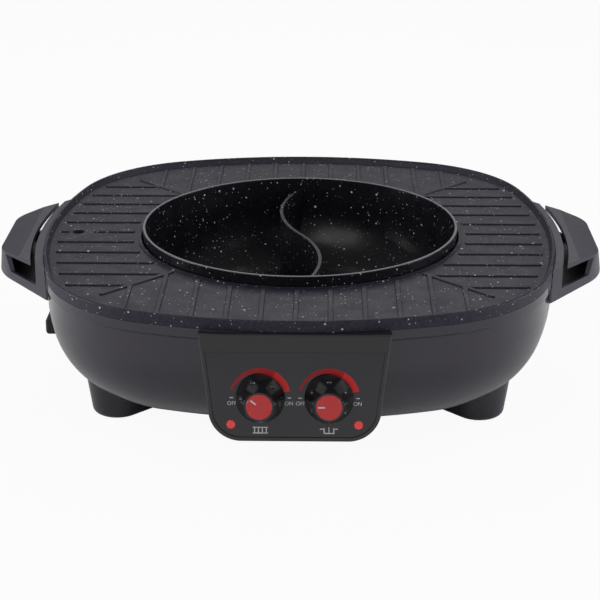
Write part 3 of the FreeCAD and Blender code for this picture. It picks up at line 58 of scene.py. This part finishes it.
# The tilted control panel, measured from the fascia's box and the knobs' hinges
PANEL_TILT = math.radians(8.0)
PANEL_OUT = Vector((0, -math.cos(PANEL_TILT), math.sin(PANEL_TILT)))
PANEL_UP = Vector((0, math.sin(PANEL_TILT), math.cos(PANEL_TILT)))
PANEL_ACROSS = Vector((1, 0, 0))
FASCIA_RECESS = 0.0008
PRINT_HEIGHT = 0.00012
LEFT_POINTER = math.radians(141.0)
RIGHT_POINTER = math.radians(180.0)

# The red scale round each knob, as angles in degrees from the right, and the words beside it
SCALE_RADIUS = 0.0222
SCALE_OFF_ANGLE = 165
SCALE_HOT_ANGLE = 60
SCALE_ON_ANGLE = 14
SCALE_THIN = 0.0014
SCALE_WIDE = 0.0052
SCALE_WIDEST = 0.0060
TICK_REACH = 0.0208
WORD_REACH = 0.0205
WORD_DROP = 0.0042
WORD_SIZE = 0.0040

# The sunk pointer on each cap, measured from the knob's base
CAP_TOP = 0.0236
POINTER_DEPTH = 0.0004

# Flecks of the stone-effect coating: the spacing of the cells, the largest radius and the share that show
FINE_FLECKS = (0.0028, 0.00062, 0.85)
MEDIUM_FLECKS = (0.0055, 0.00100, 0.70)
LARGE_FLECKS = (0.0120, 0.00140, 0.55)
FLECK_COLOR = (0.80, 0.80, 0.84)

# The studio: how white the camera sees the floor, the level of the world's light, and the lamps
FLOOR_WHITE_SHARE = 0.94
WORLD_LIGHT = 0.22
SOFTBOXES = (
    ("key", (-0.9, -1.3, 1.5), 1.1, 8.5),
    ("fill", (1.2, -1.0, 1.2), 1.1, 5.0),
    ("back", (0.0, 1.3, 1.3), 1.2, 6.0),
    ("side_left", (-1.5, 0.0, 0.35), 0.7, 8.5),
    ("side_right", (1.5, 0.0, 0.35), 0.7, 8.5),
)
AIM_POINT = Vector((0, 0, 0.06))


def knob_base(side):
    """The point on the knob's axis at the panel's face, from the frame's hinge."""
    name = "knob_left_turn" if side < 0 else "knob_right_turn"
    joint = next(j for j in frame["record"]["behaviour"]["joints"] if j["name"] == name)
    return Vector(joint["pos_m"])


def panel_matrix(side):
    """Local X across, Y up and Z out of the panel, at a knob's axis on the fascia's surface."""
    base = knob_base(side) - PANEL_OUT * FASCIA_RECESS
    turn = Matrix((PANEL_ACROSS, PANEL_UP, PANEL_OUT)).transposed()
    return Matrix.Translation(base) @ turn.to_4x4()


class Shader:
    """A node material with a Principled surface, and short calls for the nodes that the finishes share."""

    def __init__(self, name, color, roughness, **sockets):
        self.material = bpy.data.materials.new(name)
        self.material.use_nodes = True
        self.tree = self.material.node_tree
        self.surface = self.tree.nodes["Principled BSDF"]
        self.set_color(color)
        self.surface.inputs["Roughness"].default_value = roughness
        for socket, value in sockets.items():
            self.surface.inputs[socket.replace("_", " ")].default_value = value
        self.place = self.node("ShaderNodeTexCoord").outputs["Object"]

    def set_color(self, color):
        """Sets the base colour on the shader's own socket."""
        self.surface.inputs["Base Color"].default_value = (*color, 1.0)

    def node(self, kind, **values):
        """Adds a node and sets its properties."""
        made = self.tree.nodes.new(kind)
        for key, value in values.items():
            setattr(made, key, value)
        return made

    def link(self, source, target):
        """Joins two sockets."""
        self.tree.links.new(source, target)

    def noise(self, scale, detail=3.0, rough=0.5, stretch=None):
        """Noise over the object's own coordinates. Scale is in features per metre."""
        place = self.place
        if stretch:
            mapping = self.node("ShaderNodeMapping")
            mapping.inputs["Scale"].default_value = stretch
            self.link(place, mapping.inputs["Vector"])
            place = mapping.outputs["Vector"]
        made = self.node("ShaderNodeTexNoise")
        made.inputs["Scale"].default_value = scale
        made.inputs["Detail"].default_value = detail
        made.inputs["Roughness"].default_value = rough
        self.link(place, made.inputs["Vector"])
        return made.outputs["Fac"]

    def math(self, operation, first, second=0.0):
        """A maths node on sockets or plain numbers."""
        made = self.node("ShaderNodeMath", operation=operation)
        for socket, value in zip(made.inputs, (first, second)):
            if isinstance(value, (int, float)):
                socket.default_value = value
            else:
                self.link(value, socket)
        return made.outputs[0]

    def ramp(self, value, low, high, start=0.0, end=1.0):
        """Maps a value's range onto another, clamped."""
        made = self.node("ShaderNodeMapRange")
        made.inputs["From Min"].default_value = low
        made.inputs["From Max"].default_value = high
        made.inputs["To Min"].default_value = start
        made.inputs["To Max"].default_value = end
        self.link(value, made.inputs["Value"])
        return made.outputs["Result"]

    def mix(self, factor, first, second):
        """Blends two colours, each a socket or three numbers."""
        made = self.node("ShaderNodeMix", data_type="RGBA")
        self.link(factor, made.inputs["Factor"])
        for socket, value in ((made.inputs[6], first), (made.inputs[7], second)):
            if isinstance(value, tuple):
                socket.default_value = (*value, 1.0)
            else:
                self.link(value, socket)
        return made.outputs[2]

    def specks(self, spacing, largest, share):
        """Round flecks of many sizes: 1 on a fleck, 0 off it. Spacing and largest radius are in metres."""
        cells = self.node("ShaderNodeTexVoronoi")
        cells.inputs["Scale"].default_value = 1 / spacing
        self.link(self.place, cells.inputs["Vector"])
        parts = self.node("ShaderNodeSeparateColor")
        self.link(cells.outputs["Color"], parts.inputs["Color"])
        size = self.ramp(parts.outputs["Red"], 1 - share, 1.0, 0.0, largest / spacing)
        inside = self.math("SUBTRACT", size, cells.outputs["Distance"])
        return self.ramp(inside, 0.0, 0.25 * largest / spacing)

    def bump(self, height, distance, strength=1.0):
        """Adds a bump from a height socket, after any bump already there."""
        made = self.node("ShaderNodeBump")
        made.inputs["Strength"].default_value = strength
        made.inputs["Distance"].default_value = distance
        self.link(height, made.inputs["Height"])
        normal = self.surface.inputs["Normal"]
        if normal.is_linked:
            self.link(normal.links[0].from_socket, made.inputs["Normal"])
        self.link(made.outputs["Normal"], normal)

    def vary_roughness(self, value, low, high):
        """Drives roughness between two levels."""
        self.link(self.ramp(value, 0.3, 0.7, low, high), self.surface.inputs["Roughness"])

    def height_mask(self, low, high):
        """0 below a level and 1 above another, in the object's own Z."""
        parts = self.node("ShaderNodeSeparateXYZ")
        self.link(self.place, parts.inputs["Vector"])
        return self.ramp(parts.outputs["Z"], low, high)


def speckled_coating(name, dark, light, roughness, highlight_level, rim_highlight_color):
    """A stone-effect non-stick coating: mottled ground, pale flecks, and a painted highlight, a paler band,
    above a level.
    """
    shader = Shader(name, dark, roughness[0], Specular_IOR_Level=0.3)
    ground = shader.mix(shader.ramp(shader.noise(420.0, 4.0, 0.65), 0.35, 0.65), dark, light)
    fine = shader.specks(*FINE_FLECKS)
    medium = shader.specks(*MEDIUM_FLECKS)
    large = shader.specks(*LARGE_FLECKS)
    patches = shader.ramp(shader.noise(22.0, 3.0, 0.6), 0.32, 0.54)
    fine = shader.math("MULTIPLY", fine, patches)
    flecks = shader.math("MAXIMUM", shader.math("MAXIMUM", fine, medium), large)
    tone = shader.ramp(shader.noise(160.0, 1.0), 0.3, 0.7, 0.45, 1.0)
    visible = shader.math("MULTIPLY", flecks, tone)
    color = shader.mix(visible, ground, FLECK_COLOR)
    # The paler band above the given level is a painted highlight along the pot's rim.
    if highlight_level:
        color = shader.mix(shader.height_mask(highlight_level - 0.0005, highlight_level - 0.0001), color, rim_highlight_color)
    shader.link(color, shader.surface.inputs["Base Color"])
    shader.vary_roughness(shader.noise(60.0, 3.0), *roughness)
    shader.bump(shader.noise(1500.0, 2.0), 0.00006, 0.7)
    shader.bump(flecks, 0.00005, 0.5)
    return shader.material


def moulded_gloss(name, color, roughness, peel, painted_sheen_tint):
    """Injection-moulded gloss plastic with faint orange peel, and broad lighter patches of painted sheen spread
    by noise.
    """
    shader = Shader(name, color, roughness, Coat_Weight=0.6, Coat_Roughness=0.08)
    # The lighter tint mixed in here is painted sheen, placed by noise.
    tone = shader.ramp(shader.noise(9.0, 4.0, 0.6), 0.3, 0.7)
    shader.link(shader.mix(tone, color, painted_sheen_tint), shader.surface.inputs["Base Color"])
    shader.vary_roughness(shader.noise(35.0, 5.0, 0.6), roughness * 0.8, roughness * 1.3)
    shader.bump(shader.noise(260.0, 2.0), 0.00004, peel)
    return shader.material


def grained_plastic(name, color, light, roughness, grain):
    """Satin plastic with a fine spark-eroded grain and slightly paler wear."""
    shader = Shader(name, color, roughness)
    wear = shader.ramp(shader.noise(45.0, 5.0, 0.65), 0.45, 0.75)
    shader.link(shader.mix(wear, color, light), shader.surface.inputs["Base Color"])
    shader.vary_roughness(shader.noise(90.0, 3.0), roughness * 0.85, roughness * 1.15)
    shader.bump(shader.noise(2200.0, 2.0), 0.00005, grain)
    return shader.material


def sheet_metal(name, color, roughness, stretch):
    """Drawn or pressed metal with fine directional lines and heat haze."""
    shader = Shader(name, color, roughness, Metallic=1.0)
    lines = shader.noise(300.0, 4.0, 0.6, stretch)
    haze = shader.ramp(shader.noise(12.0, 4.0, 0.6), 0.4, 0.7)
    dull = tuple(channel * 0.72 for channel in color)
    shader.link(shader.mix(haze, color, dull), shader.surface.inputs["Base Color"])
    shader.vary_roughness(lines, roughness * 0.8, roughness * 1.25)
    shader.bump(lines, 0.00003, 0.5)
    return shader.material


def red_lamp(name):
    """Clear red moulded lens with a faint inner glow and a fine moulded texture."""
    shader = Shader(name, (0.62, 0.018, 0.020), 0.12, Coat_Weight=1.0, Emission_Strength=0.25)
    shader.surface.inputs["Emission Color"].default_value = (1.0, 0.05, 0.04, 1.0)
    tone = shader.ramp(shader.noise(700.0, 2.0), 0.35, 0.65)
    color = shader.mix(tone, (0.50, 0.012, 0.014), (0.75, 0.035, 0.03))
    shader.link(color, shader.surface.inputs["Base Color"])
    shader.bump(shader.noise(900.0, 1.0), 0.00006, 0.5)
    return shader.material


def printed_ink(name, color, roughness):
    """Screen-printed ink, slightly uneven in coverage."""
    shader = Shader(name, color, roughness)
    tone = shader.ramp(shader.noise(2500.0, 3.0), 0.3, 0.7)
    thin = tuple(channel * 0.80 for channel in color)
    shader.link(shader.mix(tone, thin, color), shader.surface.inputs["Base Color"])
    shader.bump(shader.noise(4000.0, 2.0), 0.00002, 0.5)
    return shader.material


def finishes():
    """Every finish, by the record's slot name."""
    return {
        "plate_coating": speckled_coating(
            "plate_coating", (0.018, 0.016, 0.027), (0.034, 0.030, 0.050), (0.42, 0.55), None, None
        ),
        # On the pot, the pale band at the rim is a painted highlight.
        "pot_coating": speckled_coating(
            "pot_coating", (0.005, 0.005, 0.007), (0.012, 0.011, 0.015), (0.22, 0.32), RIM_Z, (0.22, 0.22, 0.25)
        ),
        # The last colour of each gloss finish is a lighter tint for painted sheen.
        "bowl": moulded_gloss("bowl", (0.015, 0.012, 0.022), 0.17, 0.25, (0.022, 0.018, 0.033)),
        "foot": moulded_gloss("foot", (0.018, 0.017, 0.024), 0.26, 0.35, (0.025, 0.023, 0.033)),
        "panel_box": moulded_gloss("panel_box", (0.016, 0.016, 0.019), 0.30, 0.3, (0.022, 0.022, 0.026)),
        "fascia": moulded_gloss("fascia", (0.010, 0.010, 0.016), 0.14, 0.1, (0.013, 0.013, 0.021)),
        "knob": moulded_gloss("knob", (0.007, 0.007, 0.008), 0.16, 0.15, (0.010, 0.010, 0.012)),
        "cap": moulded_gloss("cap", (0.56, 0.016, 0.020), 0.28, 0.3, (0.64, 0.020, 0.024)),
        "handle": grained_plastic("handle", (0.040, 0.036, 0.056), (0.052, 0.047, 0.070), 0.36, 0.45),
        "tray": grained_plastic("tray", (0.012, 0.012, 0.014), (0.020, 0.020, 0.023), 0.40, 0.5),
        "connector": grained_plastic("connector", (0.010, 0.010, 0.011), (0.016, 0.016, 0.018), 0.48, 0.6),
        "cover": grained_plastic("cover", (0.030, 0.030, 0.033), (0.042, 0.042, 0.046), 0.50, 0.8),
        "pad": grained_plastic("pad", (0.010, 0.010, 0.010), (0.018, 0.018, 0.018), 0.80, 0.9),
        "wire": grained_plastic("wire", (0.45, 0.10, 0.07), (0.52, 0.14, 0.10), 0.55, 0.4),
        "switch_body": grained_plastic("switch_body", (0.70, 0.68, 0.62), (0.78, 0.76, 0.70), 0.65, 0.8),
        "steel": sheet_metal("steel", (0.60, 0.60, 0.61), 0.34, (1.0, 1.0, 6.0)),
        "heater": sheet_metal("heater", (0.26, 0.24, 0.23), 0.45, (1.0, 1.0, 1.0)),
        "reflector": sheet_metal("reflector", (0.78, 0.78, 0.79), 0.28, (1.0, 8.0, 1.0)),
        "contact": sheet_metal("contact", (0.80, 0.66, 0.38), 0.26, (1.0, 6.0, 1.0)),
        "lamp": red_lamp("lamp"),
    }


def dress_frame(materials):
    """Gives every node of the frame its slot's finish."""
    slots = {entry["node"]: entry["material_slot"] for entry in frame["record"]["subparts"]}
    for node, obj in frame["nodes"].items():
        obj.data.materials.clear()
        obj.data.materials.append(materials[slots[node]])


def flat_piece(name, outlines, height, place, material, body):
    """A thin raised print made of closed outlines in a panel's plane."""
    mesh = bpy.data.meshes.new(name)
    form = bmesh.new()
    for points in outlines:
        bottom = [form.verts.new((x, y, 0)) for x, y in points]
        top = [form.verts.new((x, y, height)) for x, y in points]
        form.faces.new(top)
        form.faces.new(list(reversed(bottom)))
        count = len(points)
        for index in range(count):
            after = (index + 1) % count
            form.faces.new((bottom[index], bottom[after], top[after], top[index]))
    bmesh.ops.recalc_face_normals(form, faces=form.faces)
    form.transform(place)
    form.to_mesh(mesh)
    form.free()
    mesh.materials.append(material)
    piece = bpy.data.objects.new(name, mesh)
    bpy.context.scene.collection.objects.link(piece)
    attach(piece, body)
    return piece


def tapered_arc(outer, thin, thick, start, end, steps):
    """One outline of a curved band that grows from thin to thick. Angles are in degrees."""
    far = []
    near = []
    for index in range(steps + 1):
        share = index / steps
        turn = math.radians(start + (end - start) * share)
        width = thin + (thick - thin) * share
        far.append((outer * math.cos(turn), outer * math.sin(turn)))
        near.append(((outer - width) * math.cos(turn), (outer - width) * math.sin(turn)))
    return far + near[::-1]


def bar(x, y, width, height):
    """A rectangle outline about a centre."""
    return [(x - width / 2, y - height / 2), (x + width / 2, y - height / 2),
            (x + width / 2, y + height / 2), (x - width / 2, y + height / 2)]


def printed_text(name, words, size, x, y, place, material):
    """Raised generic lettering centred on a point of the panel's plane."""
    curve = bpy.data.curves.new(name, "FONT")
    curve.body = words
    curve.size = size
    curve.align_x = "CENTER"
    curve.align_y = "CENTER"
    curve.extrude = PRINT_HEIGHT / 2
    holder = bpy.data.objects.new(name, curve)
    bpy.context.scene.collection.objects.link(holder)
    bpy.context.view_layer.update()
    mesh = bpy.data.meshes.new_from_object(holder)
    bpy.data.objects.remove(holder)
    mesh.transform(place @ Matrix.Translation((x, y, PRINT_HEIGHT / 2)))
    mesh.materials.clear()
    mesh.materials.append(material)
    piece = bpy.data.objects.new(name, mesh)
    bpy.context.scene.collection.objects.link(piece)
    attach(piece, "base")


def dial_prints(red, bright, white):
    """The red scales round the knobs, the off and on words, and a symbol under each knob."""
    for side, word in ((-1, "left"), (1, "right")):
        place = panel_matrix(side)
        scale = [tapered_arc(SCALE_RADIUS, SCALE_THIN, SCALE_WIDE, SCALE_OFF_ANGLE, SCALE_HOT_ANGLE, 40)]
        flat_piece("dial_scale_" + word, scale, PRINT_HEIGHT, place, red, "base")
        hot = [tapered_arc(SCALE_RADIUS, SCALE_WIDE, SCALE_WIDEST, SCALE_HOT_ANGLE, SCALE_ON_ANGLE, 20)]
        flat_piece("dial_hot_" + word, hot, PRINT_HEIGHT, place, bright, "base")
        ticks = [bar(-TICK_REACH, 0.0, 0.0026, 0.0007), bar(TICK_REACH, 0.0, 0.0026, 0.0007)]
        flat_piece("dial_ticks_" + word, ticks, PRINT_HEIGHT, place, white, "base")
        printed_text("off_word_" + word, "OFF", WORD_SIZE, -WORD_REACH, -WORD_DROP, place, white)
        printed_text("on_word_" + word, "ON", WORD_SIZE, WORD_REACH, -WORD_DROP, place, white)
    pot_symbol = [
        bar(0.0, -0.0262, 0.0078, 0.0008),
        bar(-0.0035, -0.0242, 0.0008, 0.0040),
        bar(0.0035, -0.0242, 0.0008, 0.0040),
        bar(0.0, -0.0238, 0.0007, 0.0044),
        bar(-0.0053, -0.0230, 0.0024, 0.0008),
        bar(0.0053, -0.0230, 0.0024, 0.0008),
    ]
    grill_symbol = [bar(0.0, -0.0262, 0.0110, 0.0008), bar(0.0, -0.0220, 0.0110, 0.0008)]
    grill_symbol += [bar((k - 1.5) * 0.0028, -0.0241, 0.0008, 0.0030) for k in range(4)]
    flat_piece("grill_symbol", grill_symbol, PRINT_HEIGHT, panel_matrix(-1), white, "base")
    flat_piece("pot_symbol", pot_symbol, PRINT_HEIGHT, panel_matrix(1), white, "base")


def pointer_marks(white):
    """The white paint that fills the sunk pointer on each cap."""
    for side, word, angle in ((-1, "left", LEFT_POINTER), (1, "right", RIGHT_POINTER)):
        base = knob_base(side)
        turn = Matrix((PANEL_ACROSS, PANEL_UP, PANEL_OUT)).transposed().to_4x4()
        cap_place = Matrix.Translation(base + PANEL_OUT * (CAP_TOP - POINTER_DEPTH))
        place = cap_place @ turn @ Matrix.Rotation(angle, 4, "Z")
        mark = [bar(0.0054, 0.0, 0.0050, 0.0012)]
        flat_piece("pointer_" + word, mark, POINTER_DEPTH * 0.8, place, white, "knob_" + word)


def stage_material():
    """A white floor that keeps a soft shadow. Rays from the camera see it as paper white."""
    shader = Shader("paper_white", (0.86, 0.86, 0.86), 0.9)
    glow = shader.node("ShaderNodeEmission")
    glow.inputs["Color"].default_value = (1.0, 1.0, 1.0, 1.0)
    path = shader.node("ShaderNodeLightPath")
    seen = shader.math("MULTIPLY", path.outputs["Is Camera Ray"], FLOOR_WHITE_SHARE)
    blend = shader.node("ShaderNodeMixShader")
    shader.link(seen, blend.inputs["Fac"])
    shader.link(shader.surface.outputs["BSDF"], blend.inputs[1])
    shader.link(glow.outputs["Emission"], blend.inputs[2])
    output = next(n for n in shader.tree.nodes if n.bl_idname == "ShaderNodeOutputMaterial")
    shader.link(blend.outputs["Shader"], output.inputs["Surface"])
    return shader.material


def studio():
    """Floor, world and lamps."""
    bpy.ops.mesh.primitive_plane_add(size=30, location=(0, 0, 0))
    floor = bpy.context.object
    floor.name = "floor"
    floor.data.materials.append(stage_material())
    world = bpy.data.worlds.new("studio")
    bpy.context.scene.world = world
    world.use_nodes = True
    tree = world.node_tree
    background = tree.nodes["Background"]
    background.inputs["Color"].default_value = (1.0, 1.0, 1.0, 1.0)
    path = tree.nodes.new("ShaderNodeLightPath")
    seen = tree.nodes.new("ShaderNodeMath")
    seen.operation = "MAXIMUM"
    tree.links.new(path.outputs["Is Camera Ray"], seen.inputs[0])
    tree.links.new(path.outputs["Is Transmission Ray"], seen.inputs[1])
    level = tree.nodes.new("ShaderNodeMapRange")
    level.inputs["To Min"].default_value = WORLD_LIGHT
    level.inputs["To Max"].default_value = 1.0
    tree.links.new(seen.outputs[0], level.inputs["Value"])
    tree.links.new(level.outputs["Result"], background.inputs["Strength"])
    for name, place, size, watts in SOFTBOXES:
        softbox(name, place, size, watts)


def softbox(name, place, size, watts):
    """A square area lamp aimed at the object's middle."""
    light = bpy.data.lights.new(name, "AREA")
    light.energy = watts
    light.size = size
    lamp = bpy.data.objects.new(name, light)
    bpy.context.scene.collection.objects.link(lamp)
    lamp.location = place
    aim = AIM_POINT - Vector(place)
    lamp.rotation_euler = aim.to_track_quat("-Z", "Y").to_euler()


def camera():
    """The camera at the photograph's place."""
    data = bpy.data.cameras.new("photo_camera")
    data.lens = CAMERA_LENS_MM
    data.sensor_width = 36.0
    data.shift_y = CAMERA_SHIFT_Y
    data.clip_end = 100.0
    holder = bpy.data.objects.new("photo_camera", data)
    bpy.context.scene.collection.objects.link(holder)
    across = Vector((-CAMERA_BACK.y, CAMERA_BACK.x, 0)).normalized()
    above = CAMERA_BACK.cross(across)
    turn = Matrix((across, above, CAMERA_BACK)).transposed().to_4x4()
    holder.matrix_world = Matrix.Translation(CAMERA_OFFSET + Vector((0, POT_AXIS_Y, GRILL_Z))) @ turn
    bpy.context.scene.camera = holder


materials = finishes()
dress_frame(materials)
scale_red = printed_ink("scale_red", (0.42, 0.010, 0.014), 0.4)
scale_bright = printed_ink("scale_bright", (0.75, 0.02, 0.022), 0.4)
print_white = printed_ink("print_white", (0.72, 0.72, 0.72), 0.5)
dial_prints(scale_red, scale_bright, print_white)
pointer_marks(print_white)
studio()
camera()
bpy.context.scene.view_settings.view_transform = "Standard"
